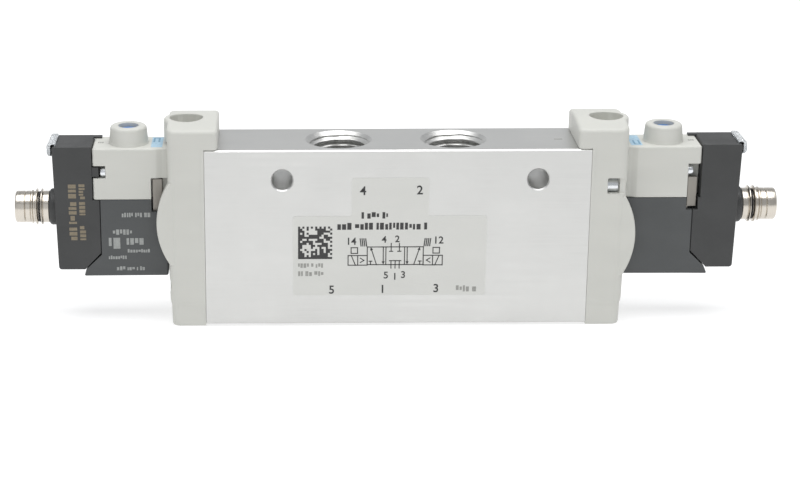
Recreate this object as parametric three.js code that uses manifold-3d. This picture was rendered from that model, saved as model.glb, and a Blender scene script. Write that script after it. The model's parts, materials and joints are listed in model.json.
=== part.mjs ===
// Double solenoid directional valve, spring centred: an in-line body with five
// G1/4 ports, a sliding spool, two end caps and two pilot solenoids.
// Millimetres. +X along the spool, +Z up, the end caps stand on z = 0.
// The left end is the right end turned half a turn about Z.
import * as THREE from 'three';
import { mergeVertices } from 'three/addons/utils/BufferGeometryUtils.js';
import Module from 'manifold-3d';

const wasm = await Module();
wasm.setup();

// ---------------------------------------------------------------- dimensions
const ROUND = 14; // facets of a small round
const WIDE_ROUND = 18; // facets of a large round
const OVER = 1; // how far a cutting tool passes the face it cuts
const LAP = 0.5; // how far joined solids reach into each other

const body = { halfLength: 41.5, halfWidth: 8.9, bottom: 0.55, top: 39.95 };
const spoolAxisZ = 20.25;
const boreR = 6;
const gallery = { r: 7.2, halfWidth: 3.25 };

// G1/4 ports: 4 and 2 on top, 5, 1 and 3 below
const port = { pitch: 12.5, minorR: 5.72, mouthR: 7.25, mouth: 1.5, depth: 11, passageR: 3.2 };
const topPorts = [-port.pitch, port.pitch];
const bottomPorts = [-2 * port.pitch, 0, 2 * port.pitch];

const mountingHole = { r: 2.25, z: 33.3, x: [-24.8, 30.2] };

const label = { thickness: 0.1, left: -22.5, right: 19.4, bottom: 7.15, step: 25.2 };
const labelHead = { left: -9.8, right: 6.8, top: 33.75 };

const spool = { end: 36, neckR: 3.4, landR: 5.75, grooveR: 5, grooveHalf: 0.8 };
const lands = [[7.5, 11], [14, 17.5], [31, 36]];
const seal = { innerR: 5.05, outerR: 5.92, halfWidth: 0.7 };

const cap = {
  halfWidth: 9, lip: 38.6, outer: 49.5, foot: 49.2, taperZ: 12, edgeTop: 44.25, top: 45.15, round: 0.8,
  chamberR: 5.5, chamberEnd: 46.6, bossX: 45.5, bossR: 4.9, bossFoot: 40.3, recessR: 3.6, recessDepth: 3.5,
};
const cheek = { inner: 5.6, reach: 2.8, root: 49.2 };
const cheekA = { low: 14.05, high: 32.55 };
const cheekB = { low: 11.45, high: 29.25 };
const capWindow = { x0: 45.1, x1: 47.8, z0: 29.95, z1: 33.45, depth: 4, channelDepth: 0.9 };
const gasket = { outerR: 8, innerR: 6.2, thickness: 0.45, pocketR: 8.1, pocket: 0.55 };
const centringSpring = { meanR: 3.9, wireR: 0.35, turns: 4, start: 36.45, end: 46.15 };

const capScrew = {
  y: 6.3, upperZ: 31.3, headR: 1.7, headEnd: 47.7, headStart: 45.2, shankR: 1.15, tip: 34,
};
capScrew.lowerZ = 2 * spoolAxisZ - capScrew.upperZ;
const capScrewPlaces = [[-capScrew.y, capScrew.upperZ], [capScrew.y, capScrew.lowerZ]];
const capScrewHole = { headR: 1.85, shankR: 1.3, bottom: 33.6 };
const hexSocket = { r: 0.95, depth: 1.2 };

const pilotX = 58.1; // solenoid and override axis
const pilotHalfWidth = 5.15;
const housing = { x0: 49.5, x1: 65.8, z0: 27.95, z1: 39.45, armatureR: 2.9, armatureTop: 30.5 };
const nozzle = { r: 0.9, tip: 29.95, holeR: 0.45, holeTop: 32.4 };
const pinBore = { r: 1.5, bottom: 32.2 };
const springChamber = { r: 2.75, bottom: 34.4 };
const collarSeat = { r: 3.4, bottom: 36.5 };
const notchA = { x0: 63.0, z0: 32.75, z1: 35.55, inner: 2.2 };
const notchB = { x0: 63.0, z1: 35.55, inner: 2.2 };
const legNotch = { x1: 53.2, z0: 25.15, z1: 32.75, inner: 3.2 };

const collar = {
  bottom: 36.6, stubR: 3.35, ledge: 39.5, flareR: 4.55, waistR: 4.2, waistZ: 40.1,
  shoulderR: 3.95, shoulderZ: 42.9, rimR: 3.45, top: 43.4, boreR: 2.2,
};
const stem = {
  pinR: 1.3, pinEnd: 33.9, shoulderR: 2.5, shoulder: 38.2, shoulderTop: 39.4, neckR: 0.9, top: 41.75,
};
const button = {
  r: 2.1, bottom: 40.75, top: 42.55, socketR: 1.05, socketTop: 41.9, slot: 0.6, slotDepth: 0.5,
};
const overrideSpring = { meanR: 1.95, wireR: 0.2, turns: 4, start: 34.7, end: 37.9 };

const coilCase = {
  x0: 49.8, x1: 64.3, z0: 10.55, wall: 0.9, floor: 1.05, footX: 68.3, kneeX: 67.6, kneeZ: 12.2, heelZ: 15.4,
};
const yoke = { plateZ0: 11.7, plateZ1: 12.4, outerY: 4.1, innerY: 3.3, top: 32.35 };
const yokeLegA = { x0: 50.8, x1: 53 };
const yokeLegB = { x0: 62.2, x1: 63.5, wideX0: 63.2, wideX1: 65.3, wideZ: 25.6, room: 0.3 };
const bobbin = { boreR: 2.75, tubeR: 3.15, flangeR: 4, flange: 0.6, z0: 12.5, upperFlange: 27, z1: 27.85 };
const winding = { innerR: 3.2, outerR: 3.9, gap: 0.05 };
const core = { r: 2.6, z0: 12.5, z1: 18.8, springR: 1.3, springDepth: 2 };
const armature = { r: 2.6, z0: 19.4, shoulder: 28.9, z1: 29.85, noseR: 1.6 };
const armatureSpring = { meanR: 0.95, wireR: 0.15, turns: 4, start: 17.05, end: 21.15 };

const pilotScrew = { y: 3.8, z: 33.9, headR: 1.1, headStart: 63, headEnd: 64.2, shankR: 0.75, tip: 45.6 };
const pilotScrewHole = { r: 0.85, headR: 1.35, end: 45.4 };

const subBase = {
  upperX: 65.9, lowerX: 64.4, shelfZ: 27.9, outerTopX: 74.5, outerBottomX: 73.8,
  top: 39.85, bottom: 11.95, kneeX: 68, heelZ: 15.7,
};
const boardCavity = { x1: 69.5, z0: 17.5, z1: 37, halfWidth: 4 };
const board = { x0: 67.6, x1: 68.4, z0: 18, z1: 36.8, halfWidth: 3.8 };
const latch = { x0: 64.5, z0: 33.1, z1: 35.2, inner: 2.4, outer: 4.9 };
const legRelief = { x1: 65.5, z0: 25.2, inner: 3 };
const lightGuide = { x0: 72.6, x1: 75.9, halfWidth: 4.2, drop: 38, top: 40.45, corner: 0.9, gap: 0.05 };

const plug = {
  z: 24.95, collarRootR: 4, collarEndR: 3.75, collarEnd: 75.75, stubR: 3.2, seatR: 3.25,
  stubStart: 72.5, boreR: 2.8, sleeveR: 3.5, crestR: 4, rootR: 3.45, crest1: 77.4, crest2: 78.6,
  pitch: 1, threadEnd: 79.1, tip: 83.2, oRingX: 77.95, oRingHalf: 0.25, oRingSeatR: 3.05,
  finger: 81, fingerR: 3.35,
};
const oRing = { innerR: 3.1, outerR: 3.75, gap: 0.05 };
const carrier = { r: 2.75, start: 69.6, face: 78.2, pinR: 0.45, pinTip: 82, pinCircleR: 1.5, pins: 4 };

// ---------------------------------------------------------------- materials
const paint = (color, roughness, metalness) =>
  new THREE.MeshStandardMaterial({ color, roughness, metalness });
const materials = {
  aluminium: paint(0xc9c9c8, 0.45, 0.9),
  label: paint(0xd8d8d2, 0.5, 0),
  capPlastic: paint(0xc9c9c2, 0.55, 0),
  coilPlastic: paint(0x58595a, 0.6, 0),
  blackPlastic: paint(0x3a3b3b, 0.6, 0),
  bluePlastic: paint(0x4d7fae, 0.4, 0),
  rubber: paint(0x1b1b1b, 0.8, 0),
  zincSteel: paint(0xc8ced0, 0.3, 1),
  springSteel: paint(0xa9abac, 0.35, 1),
  yokeSteel: paint(0x8c8780, 0.4, 1),
  spoolAluminium: paint(0xb8bbbe, 0.3, 1),
  copper: paint(0xb36a3c, 0.4, 1),
  bobbinPlastic: paint(0xe0dcc8, 0.6, 0),
  nickelBrass: paint(0xc9c2b4, 0.25, 1),
  circuitBoard: paint(0x2c5a3a, 0.6, 0),
  clearPlastic: paint(0xdfe6ea, 0.15, 0),
};

// ---------------------------------------------------------------- solids
// A closed geometry as a manifold, with its faces pointing out.
function solid(geometry) {
  const bare = geometry.clone();
  bare.deleteAttribute('normal');
  bare.deleteAttribute('uv');
  const merged = mergeVertices(bare, 1e-4);
  const at = merged.attributes.position.array;
  const index = merged.index.array;
  const corner = (i) => new THREE.Vector3().fromArray(at, 3 * i);
  const triangles = [];
  let volume = 0;
  for (let i = 0; i < index.length; i += 3) {
    const [a, b, c] = index.slice(i, i + 3);
    if (a === b || b === c || c === a) continue;
    triangles.push([a, b, c]);
    volume += corner(a).dot(corner(b).cross(corner(c)));
  }
  if (volume < 0) triangles.forEach((triangle) => triangle.reverse());
  return new wasm.Manifold(new wasm.Mesh({
    numProp: 3,
    vertProperties: new Float32Array(at),
    triVerts: new Uint32Array(triangles.flat()),
  }));
}

function toGeometry(manifold) {
  const mesh = manifold.getMesh();
  const geometry = new THREE.BufferGeometry();
  geometry.setAttribute('position', new THREE.BufferAttribute(mesh.vertProperties, 3));
  geometry.setIndex(new THREE.BufferAttribute(mesh.triVerts, 1));
  geometry.computeVertexNormals();
  return geometry;
}

const join = (first, ...others) => others.reduce((sum, other) => sum.add(other), first);
const cut = (blank, ...tools) => tools.reduce((rest, tool) => rest.subtract(tool), blank);

function box([x0, x1], [y0, y1], [z0, z1]) {
  const geometry = new THREE.BoxGeometry(x1 - x0, y1 - y0, z1 - z0);
  return solid(geometry.translate((x0 + x1) / 2, (y0 + y1) / 2, (z0 + z1) / 2));
}

// Cones and cylinders: from radius r0 at `from` to r1 at `to`, along one axis.
function roundBar(axis, [from, to], [r0, r1], [p, q], facets = ROUND) {
  const geometry = new THREE.CylinderGeometry(r1, r0, to - from, facets);
  geometry.translate(0, (from + to) / 2, 0);
  if (axis === 'x') geometry.rotateZ(-Math.PI / 2).translate(0, p, q);
  if (axis === 'y') geometry.translate(p, 0, q);
  if (axis === 'z') geometry.rotateX(Math.PI / 2).translate(p, q, 0);
  return solid(geometry);
}
const barX = (span, r, y, z, facets) => roundBar('x', span, [r, r], [y, z], facets);
const barY = (span, r, x, z, facets) => roundBar('y', span, [r, r], [x, z], facets);
const barZ = (span, r, x, y, facets) => roundBar('z', span, [r, r], [x, y], facets);

// An outline in x and z, extruded along y.
function plate(outline, [y0, y1]) {
  const shape = outline instanceof THREE.Shape
    ? outline
    : new THREE.Shape(outline.map(([x, z]) => new THREE.Vector2(x, z)));
  const settings = { depth: y1 - y0, bevelEnabled: false, curveSegments: 4 };
  const geometry = new THREE.ExtrudeGeometry(shape, settings);
  return solid(geometry.rotateX(Math.PI / 2).translate(0, y1, 0));
}

// A profile of [radius, height] pairs turned about z, or about x through (0, 0, z).
function turnedZ(profile, x, facets = ROUND) {
  const points = profile.map(([r, h]) => new THREE.Vector2(r, h));
  return solid(new THREE.LatheGeometry(points, facets).rotateX(Math.PI / 2).translate(x, 0, 0));
}
function turnedX(profile, z, facets = ROUND) {
  const points = profile.map(([r, h]) => new THREE.Vector2(r, h));
  return solid(new THREE.LatheGeometry(points, facets).rotateZ(-Math.PI / 2).translate(0, 0, z));
}
function ring(innerR, outerR, from, to) {
  return [[innerR, from], [outerR, from], [outerR, to], [innerR, to], [innerR, from]];
}

// A coil spring's wire, along z from `start` to `end` about the z axis.
class Helix extends THREE.Curve {
  constructor({ meanR, turns, start, end }) {
    super();
    Object.assign(this, { meanR, turns, start, end });
  }

  getPoint(t, target = new THREE.Vector3()) {
    const angle = 2 * Math.PI * this.turns * t;
    const height = this.start + (this.end - this.start) * t;
    return target.set(this.meanR * Math.cos(angle), this.meanR * Math.sin(angle), height);
  }
}

function coil(spring) {
  const facets = 4;
  const stepsPerTurn = 8;
  const wire = new THREE.Shape(
    Array.from({ length: facets }, (_, i) => {
      const angle = (2 * Math.PI * i) / facets;
      return new THREE.Vector2(spring.wireR * Math.cos(angle), spring.wireR * Math.sin(angle));
    }),
  );
  return new THREE.ExtrudeGeometry(wire, {
    steps: spring.turns * stepsPerTurn, extrudePath: new Helix(spring), bevelEnabled: false,
  });
}

// ---------------------------------------------------------------- body
function portTool(x, face, inwards) {
  const along = (near, far) => [face + inwards * near, face + inwards * far].sort((a, b) => a - b);
  const mouthRadii = [port.minorR, port.mouthR + (port.mouthR - port.minorR) / port.mouth];
  if (inwards > 0) mouthRadii.reverse();
  return join(
    barZ(along(-OVER, port.depth), port.minorR, x, 0, WIDE_ROUND),
    roundBar('z', along(-OVER, port.mouth), mouthRadii, [x, 0], WIDE_ROUND),
    barZ([spoolAxisZ, face + inwards * port.depth].sort((a, b) => a - b), port.passageR, x, 0),
  );
}

function bodySolid() {
  const { halfLength, halfWidth, bottom, top } = body;
  let rest = box([-halfLength, halfLength], [-halfWidth, halfWidth], [bottom, top]);
  rest = cut(rest, barX([-halfLength - OVER, halfLength + OVER], boreR, 0, spoolAxisZ, WIDE_ROUND));
  for (const x of [...topPorts, ...bottomPorts]) {
    const span = [x - gallery.halfWidth, x + gallery.halfWidth];
    rest = cut(rest, barX(span, gallery.r, 0, spoolAxisZ, WIDE_ROUND));
  }
  for (const x of topPorts) rest = cut(rest, portTool(x, top, -1));
  for (const x of bottomPorts) rest = cut(rest, portTool(x, bottom, 1));
  for (const x of mountingHole.x) {
    rest = cut(rest, barY([-halfWidth - OVER, halfWidth + OVER], mountingHole.r, x, mountingHole.z));
  }
  for (const side of [-1, 1]) {
    for (const [y, z] of capScrewPlaces) {
      const span = [side * capScrewHole.bottom, side * (halfLength + OVER)].sort((a, b) => a - b);
      rest = cut(rest, barX(span, capScrewHole.shankR, side * y, z));
    }
  }
  return rest;
}

function labelSolid() {
  const outline = [
    [label.left, label.bottom], [label.right, label.bottom], [label.right, label.step],
    [labelHead.right, label.step], [labelHead.right, labelHead.top], [labelHead.left, labelHead.top],
    [labelHead.left, label.step], [label.left, label.step],
  ];
  return plate(outline, [-body.halfWidth - label.thickness, -body.halfWidth]);
}

// ---------------------------------------------------------------- spool
function spoolSolid() {
  const half = [];
  for (const [from, to] of lands) {
    const mid = (from + to) / 2;
    half.push([spool.neckR, from], [spool.landR, from]);
    half.push([spool.landR, mid - spool.grooveHalf], [spool.grooveR, mid - spool.grooveHalf]);
    half.push([spool.grooveR, mid + spool.grooveHalf], [spool.landR, mid + spool.grooveHalf]);
    half.push([spool.landR, to], [to < spool.end ? spool.neckR : 0, to]);
  }
  const mirrored = half.map(([r, x]) => [r, -x]).reverse();
  return turnedX([...mirrored, ...half], spoolAxisZ, WIDE_ROUND);
}

function sealSolid([from, to], side) {
  const mid = (side * (from + to)) / 2;
  const profile = ring(seal.innerR, seal.outerR, mid - seal.halfWidth, mid + seal.halfWidth);
  return turnedX(profile, spoolAxisZ, WIDE_ROUND);
}

// ---------------------------------------------------------------- right end
// Side A is the pilot's +y side here, and side B its -y side.
// A chord of a circle, bulging in +x from the cap's outer face.
function cheekSolid({ low, high }, span) {
  const half = (high - low) / 2;
  const radius = (half * half + cheek.reach * cheek.reach) / (2 * cheek.reach);
  const centreX = cheek.root + cheek.reach - radius;
  const swing = Math.asin(half / radius);
  const shape = new THREE.Shape();
  const arcPoints = 12;
  shape.moveTo(cap.outer - 2 * OVER, low);
  for (let i = 0; i <= arcPoints; i += 1) {
    const angle = -swing + (2 * swing * i) / arcPoints;
    shape.lineTo(centreX + radius * Math.cos(angle), low + half + radius * Math.sin(angle));
  }
  shape.lineTo(cap.outer - 2 * OVER, high);
  return plate(shape, span);
}

// The top is arched across y, and a round boss in its middle overhangs the pilot housing.
function capBlank() {
  const rise = cap.top - cap.edgeTop;
  const archR = (cap.halfWidth ** 2 + rise ** 2) / (2 * rise);
  const archFacets = 120;
  const r = cap.round;
  const shape = new THREE.Shape();
  shape.moveTo(body.halfLength, 0);
  shape.lineTo(cap.foot - r, 0);
  shape.quadraticCurveTo(cap.foot, 0, cap.foot, r);
  shape.lineTo(cap.outer, cap.taperZ);
  shape.lineTo(cap.outer, cap.top - r);
  shape.quadraticCurveTo(cap.outer, cap.top, cap.outer - r, cap.top);
  shape.lineTo(cap.lip + r, cap.top);
  shape.quadraticCurveTo(cap.lip, cap.top, cap.lip, cap.top - r);
  shape.lineTo(cap.lip, body.top);
  shape.lineTo(body.halfLength, body.top);
  const block = join(
    plate(shape, [-cap.halfWidth, cap.halfWidth]),
    barZ([cap.bossFoot, cap.top], cap.bossR, cap.bossX, 0, 2 * WIDE_ROUND),
  );
  const archSpan = [cap.lip - OVER, cap.bossX + cap.bossR + OVER];
  return block.intersect(barX(archSpan, archR, 0, cap.top - archR, archFacets));
}

function capSolid() {
  const w = cap.halfWidth;
  const seam = body.halfLength;
  const y1 = -w + capWindow.depth;
  let rest = join(capBlank(), cheekSolid(cheekA, [cheek.inner, w]), cheekSolid(cheekB, [-w, -cheek.inner]));
  rest = cut(
    rest,
    barX([seam - OVER, cap.chamberEnd], cap.chamberR, 0, spoolAxisZ, WIDE_ROUND),
    barX([seam - OVER, seam + gasket.pocket], gasket.pocketR, 0, spoolAxisZ, WIDE_ROUND),
    barZ([cap.top - cap.recessDepth, cap.top + OVER], cap.recessR, cap.bossX, 0, WIDE_ROUND),
    box([capWindow.x0, capWindow.x1], [-w - OVER, y1], [capWindow.z0, capWindow.z1]),
    box([capWindow.x1 - OVER, cap.outer + OVER], [-w - OVER, -w + capWindow.channelDepth],
      [capWindow.z0, capWindow.z1]),
  );
  for (const [y, z] of capScrewPlaces) {
    rest = cut(
      rest,
      barX([capScrew.headStart, cap.outer + OVER], capScrewHole.headR, y, z),
      barX([seam - OVER, cap.outer], capScrewHole.shankR, y, z),
    );
  }
  for (const y of [-pilotScrew.y, pilotScrew.y]) {
    rest = cut(rest, barX([pilotScrewHole.end, cap.outer + OVER], pilotScrewHole.r, y, pilotScrew.z));
  }
  return rest;
}

function gasketSolid() {
  const start = body.halfLength;
  const profile = ring(gasket.innerR, gasket.outerR, start, start + gasket.thickness);
  return turnedX(profile, spoolAxisZ, WIDE_ROUND);
}

// A socket-head screw along x, its head outboard.
function screwSolid(screw, y, z) {
  const size = screw.headR / capScrew.headR;
  return cut(
    join(
      barX([screw.tip, screw.headStart + LAP], screw.shankR, y, z, ROUND / 2),
      barX([screw.headStart, screw.headEnd], screw.headR, y, z),
    ),
    barX([screw.headEnd - hexSocket.depth * size, screw.headEnd + OVER], hexSocket.r * size, y, z, 6),
  );
}

// ---------------------------------------------------------------- pilot valve
function housingSolid() {
  const { x0, x1, z0, z1 } = housing;
  const w = pilotHalfWidth;
  let rest = cut(
    box([x0, x1], [-w, w], [z0, z1]),
    barZ([z0 - OVER, housing.armatureTop], housing.armatureR, pilotX, 0),
  );
  rest = join(rest, barZ([nozzle.tip, housing.armatureTop + LAP], nozzle.r, pilotX, 0));
  rest = cut(
    rest,
    barZ([nozzle.tip - OVER, nozzle.holeTop], nozzle.holeR, pilotX, 0, ROUND / 2),
    barZ([pinBore.bottom, z1], pinBore.r, pilotX, 0),
    barZ([springChamber.bottom, z1], springChamber.r, pilotX, 0),
    barZ([collarSeat.bottom, z1 + OVER], collarSeat.r, pilotX, 0),
    box([notchA.x0, x1 + OVER], [notchA.inner, w + OVER], [notchA.z0, notchA.z1]),
    box([notchB.x0, x1 + OVER], [-w - OVER, -notchB.inner], [z0 - OVER, notchB.z1]),
    box([x0 - OVER, legNotch.x1], [legNotch.inner, w + OVER], [z0 - OVER, legNotch.z1]),
  );
  for (const y of [-pilotScrew.y, pilotScrew.y]) {
    rest = cut(rest, barX([x0 - OVER, notchA.x0 + OVER], pilotScrewHole.r, y, pilotScrew.z, ROUND / 2));
  }
  return rest;
}

function collarSolid() {
  const c = collar;
  return turnedZ([
    [springChamber.r, c.bottom], [c.stubR, c.bottom], [c.stubR, housing.z1], [c.flareR, housing.z1],
    [c.waistR, c.waistZ], [c.shoulderR, c.shoulderZ], [c.rimR, c.top], [c.boreR, c.top],
    [c.boreR, c.ledge], [springChamber.r, c.ledge], [springChamber.r, c.bottom],
  ], pilotX);
}

function stemSolid() {
  return turnedZ([
    [0, stem.pinEnd], [stem.pinR, stem.pinEnd], [stem.pinR, stem.shoulder],
    [stem.shoulderR, stem.shoulder], [stem.shoulderR, stem.shoulderTop],
    [stem.neckR, stem.shoulderTop], [stem.neckR, stem.top], [0, stem.top],
  ], pilotX);
}

function buttonSolid() {
  const reach = button.r + OVER;
  return cut(
    barZ([button.bottom, button.top], button.r, pilotX, 0),
    barZ([button.bottom - OVER, button.socketTop], button.socketR, pilotX, 0),
    box([pilotX - reach, pilotX + reach], [-button.slot / 2, button.slot / 2],
      [button.top - button.slotDepth, button.top + OVER]),
  );
}

function caseSolid() {
  const c = coilCase;
  const w = pilotHalfWidth;
  const legRoomZ = yokeLegB.wideZ - yokeLegB.room;
  const outline = [
    [c.x0, c.z0], [c.footX, c.z0], [c.kneeX, c.kneeZ], [c.x1, c.heelZ],
    [c.x1, housing.z0], [c.x0, housing.z0],
  ];
  return cut(
    plate(outline, [-w, w]),
    box([c.x0 + c.wall, c.x1 - c.wall / 2], [c.wall - w, w - c.wall], [c.z0 + c.floor, housing.z0 + OVER]),
    box([c.x0 + c.wall, legNotch.x1], [legNotch.inner, w + OVER], [legNotch.z0, housing.z0 + OVER]),
    box([notchA.x0, c.x1 + OVER], [-w - OVER, -legNotch.inner], [legRoomZ, housing.z0 + OVER]),
  );
}

function yokeSolid() {
  const { plateZ0, plateZ1, outerY, innerY, top } = yoke;
  const overlap = 0.2;
  return join(
    box([yokeLegA.x0, yokeLegB.x1], [-outerY, outerY], [plateZ0, plateZ1]),
    box([yokeLegA.x0, yokeLegA.x1], [innerY, outerY], [plateZ0, top]),
    box([yokeLegB.x0, yokeLegB.x1], [-outerY, -innerY], [plateZ0, yokeLegB.wideZ + overlap]),
    box([yokeLegB.wideX0, yokeLegB.wideX1], [-outerY, -innerY], [yokeLegB.wideZ, top]),
  );
}

function bobbinSolid() {
  const b = bobbin;
  return turnedZ([
    [b.boreR, b.z0], [b.flangeR, b.z0], [b.flangeR, b.z0 + b.flange], [b.tubeR, b.z0 + b.flange],
    [b.tubeR, b.upperFlange - b.flange], [b.flangeR, b.upperFlange - b.flange], [b.flangeR, b.upperFlange],
    [b.tubeR, b.upperFlange], [b.tubeR, b.z1], [b.boreR, b.z1], [b.boreR, b.z0],
  ], pilotX);
}

function windingSolid() {
  const from = bobbin.z0 + bobbin.flange + winding.gap;
  const to = bobbin.upperFlange - bobbin.flange - winding.gap;
  return turnedZ(ring(winding.innerR, winding.outerR, from, to), pilotX);
}

function coreSolid() {
  return turnedZ([
    [0, core.z0], [core.r, core.z0], [core.r, core.z1], [core.springR, core.z1],
    [core.springR, core.z1 - core.springDepth], [0, core.z1 - core.springDepth],
  ], pilotX);
}

function armatureSolid() {
  const a = armature;
  return turnedZ([
    [0, a.z0 + core.springDepth], [core.springR, a.z0 + core.springDepth], [core.springR, a.z0],
    [a.r, a.z0], [a.r, a.shoulder], [a.noseR, a.shoulder], [a.noseR, a.z1], [0, a.z1],
  ], pilotX);
}

// ---------------------------------------------------------------- plug base
function subBaseSolid() {
  const s = subBase;
  const w = pilotHalfWidth;
  const outline = [
    [s.kneeX, s.bottom], [s.outerBottomX, s.bottom], [s.outerTopX, s.top], [s.upperX, s.top],
    [s.upperX, s.shelfZ], [s.lowerX, s.shelfZ], [s.lowerX, s.heelZ],
  ];
  const neckRadii = [plug.collarRootR, plug.collarEndR];
  const blank = join(
    plate(outline, [-w, w]),
    roundBar('x', [s.outerBottomX - OVER, plug.collarEnd], neckRadii, [0, plug.z]),
    box([latch.x0, s.upperX + OVER], [latch.inner, latch.outer], [latch.z0, latch.z1]),
  );
  return cut(
    blank,
    box([s.lowerX - OVER, boardCavity.x1], [-boardCavity.halfWidth, boardCavity.halfWidth],
      [boardCavity.z0, s.shelfZ]),
    box([s.upperX - LAP, boardCavity.x1], [-boardCavity.halfWidth, latch.inner - LAP],
      [s.shelfZ - OVER, boardCavity.z1]),
    box([s.lowerX - OVER, legRelief.x1], [-w - OVER, -legRelief.inner], [legRelief.z0, s.shelfZ + OVER]),
    barX([boardCavity.x1 - OVER, plug.collarEnd + OVER], plug.seatR, 0, plug.z),
  );
}

function boardSolid() {
  return box([board.x0, board.x1], [-board.halfWidth, latch.inner - OVER], [board.z0, board.z1]);
}

function lightGuideSolid() {
  const g = lightGuide;
  const shape = new THREE.Shape();
  const sideX = subBase.outerTopX + g.gap;
  shape.moveTo(g.x0, subBase.top);
  shape.lineTo(sideX, subBase.top);
  shape.lineTo(sideX, g.drop);
  shape.lineTo(g.x1, g.drop);
  shape.lineTo(g.x1, g.top - g.corner);
  shape.quadraticCurveTo(g.x1, g.top, g.x1 - g.corner, g.top);
  shape.lineTo(g.x0, g.top);
  return plate(shape, [-g.halfWidth, g.halfWidth]);
}

function sleeveSolid() {
  const p = plug;
  const half = p.pitch / 2;
  const flank = p.crestR - p.rootR;
  const ringFrom = p.oRingX - p.oRingHalf;
  const ringTo = p.oRingX + p.oRingHalf;
  return turnedX([
    [p.boreR, p.stubStart], [p.stubR, p.stubStart], [p.stubR, p.collarEnd], [p.sleeveR, p.collarEnd],
    [p.sleeveR, p.crest1 - flank], [p.crestR, p.crest1], [p.rootR, ringFrom],
    [p.oRingSeatR, ringFrom], [p.oRingSeatR, ringTo], [p.rootR, ringTo], [p.crestR, p.crest2],
    [p.sleeveR, p.threadEnd], [p.sleeveR, p.finger - half / 2], [p.fingerR, p.finger],
    [p.sleeveR, p.finger + half / 2], [p.sleeveR, p.tip], [p.boreR, p.tip], [p.boreR, p.stubStart],
  ], p.z);
}

function oRingSolid() {
  const from = plug.oRingX - plug.oRingHalf + oRing.gap;
  const to = plug.oRingX + plug.oRingHalf - oRing.gap;
  return turnedX(ring(oRing.innerR, oRing.outerR, from, to), plug.z);
}

function carrierSolid() {
  let rest = barX([carrier.start, carrier.face], carrier.r, 0, plug.z);
  for (let i = 0; i < carrier.pins; i += 1) {
    const angle = (2 * Math.PI * (i + 0.5)) / carrier.pins;
    const y = carrier.pinCircleR * Math.cos(angle);
    const z = plug.z + carrier.pinCircleR * Math.sin(angle);
    rest = join(rest, barX([carrier.face - OVER, carrier.pinTip], carrier.pinR, y, z, 8));
  }
  return rest;
}

// ---------------------------------------------------------------- assembly
const valve = new THREE.Group();

function place(parent, name, shape, material) {
  const geometry = shape instanceof THREE.BufferGeometry ? shape : toGeometry(shape);
  const mesh = new THREE.Mesh(geometry, material);
  mesh.name = name;
  parent.add(mesh);
  return mesh;
}

place(valve, 'valve_body', bodySolid(), materials.aluminium);
place(valve, 'type_label', labelSolid(), materials.label);
place(valve, 'spool', spoolSolid(), materials.spoolAluminium);
for (const [side, name] of [[-1, 'left'], [1, 'right']]) {
  place(valve, `spool_seal_outlet_${name}`, sealSolid(lands[0], side), materials.rubber);
  place(valve, `spool_seal_exhaust_${name}`, sealSolid(lands[1], side), materials.rubber);
  place(valve, `spool_end_seal_${name}`, sealSolid(lands[2], side), materials.rubber);
}

const endPieces = {
  end_cap: [capSolid(), materials.capPlastic],
  cap_gasket: [gasketSolid(), materials.rubber],
  cap_screw_upper: [screwSolid(capScrew, ...capScrewPlaces[0]), materials.zincSteel],
  cap_screw_lower: [screwSolid(capScrew, ...capScrewPlaces[1]), materials.zincSteel],
  pilot_housing: [housingSolid(), materials.capPlastic],
  pilot_screw_a: [screwSolid(pilotScrew, pilotScrew.y, pilotScrew.z), materials.zincSteel],
  pilot_screw_b: [screwSolid(pilotScrew, -pilotScrew.y, pilotScrew.z), materials.zincSteel],
  override_collar: [collarSolid(), materials.capPlastic],
  override_stem: [stemSolid(), materials.nickelBrass],
  override_button: [buttonSolid(), materials.bluePlastic],
  solenoid_case: [caseSolid(), materials.coilPlastic],
  solenoid_yoke: [yokeSolid(), materials.yokeSteel],
  coil_bobbin: [bobbinSolid(), materials.bobbinPlastic],
  coil_winding: [windingSolid(), materials.copper],
  pole_core: [coreSolid(), materials.yokeSteel],
  armature: [armatureSolid(), materials.yokeSteel],
  plug_base: [subBaseSolid(), materials.blackPlastic],
  led_board: [boardSolid(), materials.circuitBoard],
  light_guide: [lightGuideSolid(), materials.clearPlastic],
  plug_sleeve: [sleeveSolid(), materials.nickelBrass],
  plug_o_ring: [oRingSolid(), materials.rubber],
  contact_carrier: [carrierSolid(), materials.blackPlastic],
};
const springs = {
  override_spring: [overrideSpring, (mesh) => mesh.position.set(pilotX, 0, 0)],
  armature_spring: [armatureSpring, (mesh) => mesh.position.set(pilotX, 0, 0)],
  centring_spring: [centringSpring, (mesh) => {
    mesh.position.z = spoolAxisZ;
    mesh.rotation.y = Math.PI / 2;
  }],
};

for (const [name, turn] of [['left', Math.PI], ['right', 0]]) {
  const end = new THREE.Group();
  end.rotation.z = turn;
  for (const [piece, [shape, material]] of Object.entries(endPieces)) {
    place(end, `${piece}_${name}`, shape, material);
  }
  for (const [piece, [spring, settle]] of Object.entries(springs)) {
    settle(place(end, `${piece}_${name}`, coil(spring), materials.springSteel));
  }
  valve.add(end);
}

export default valve;
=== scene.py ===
"""The valve's looks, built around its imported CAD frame. Lengths are in millimetres until a piece is placed."""
import json
import math
import random

import bmesh
import bpy
from mathutils import Matrix, Vector


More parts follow.
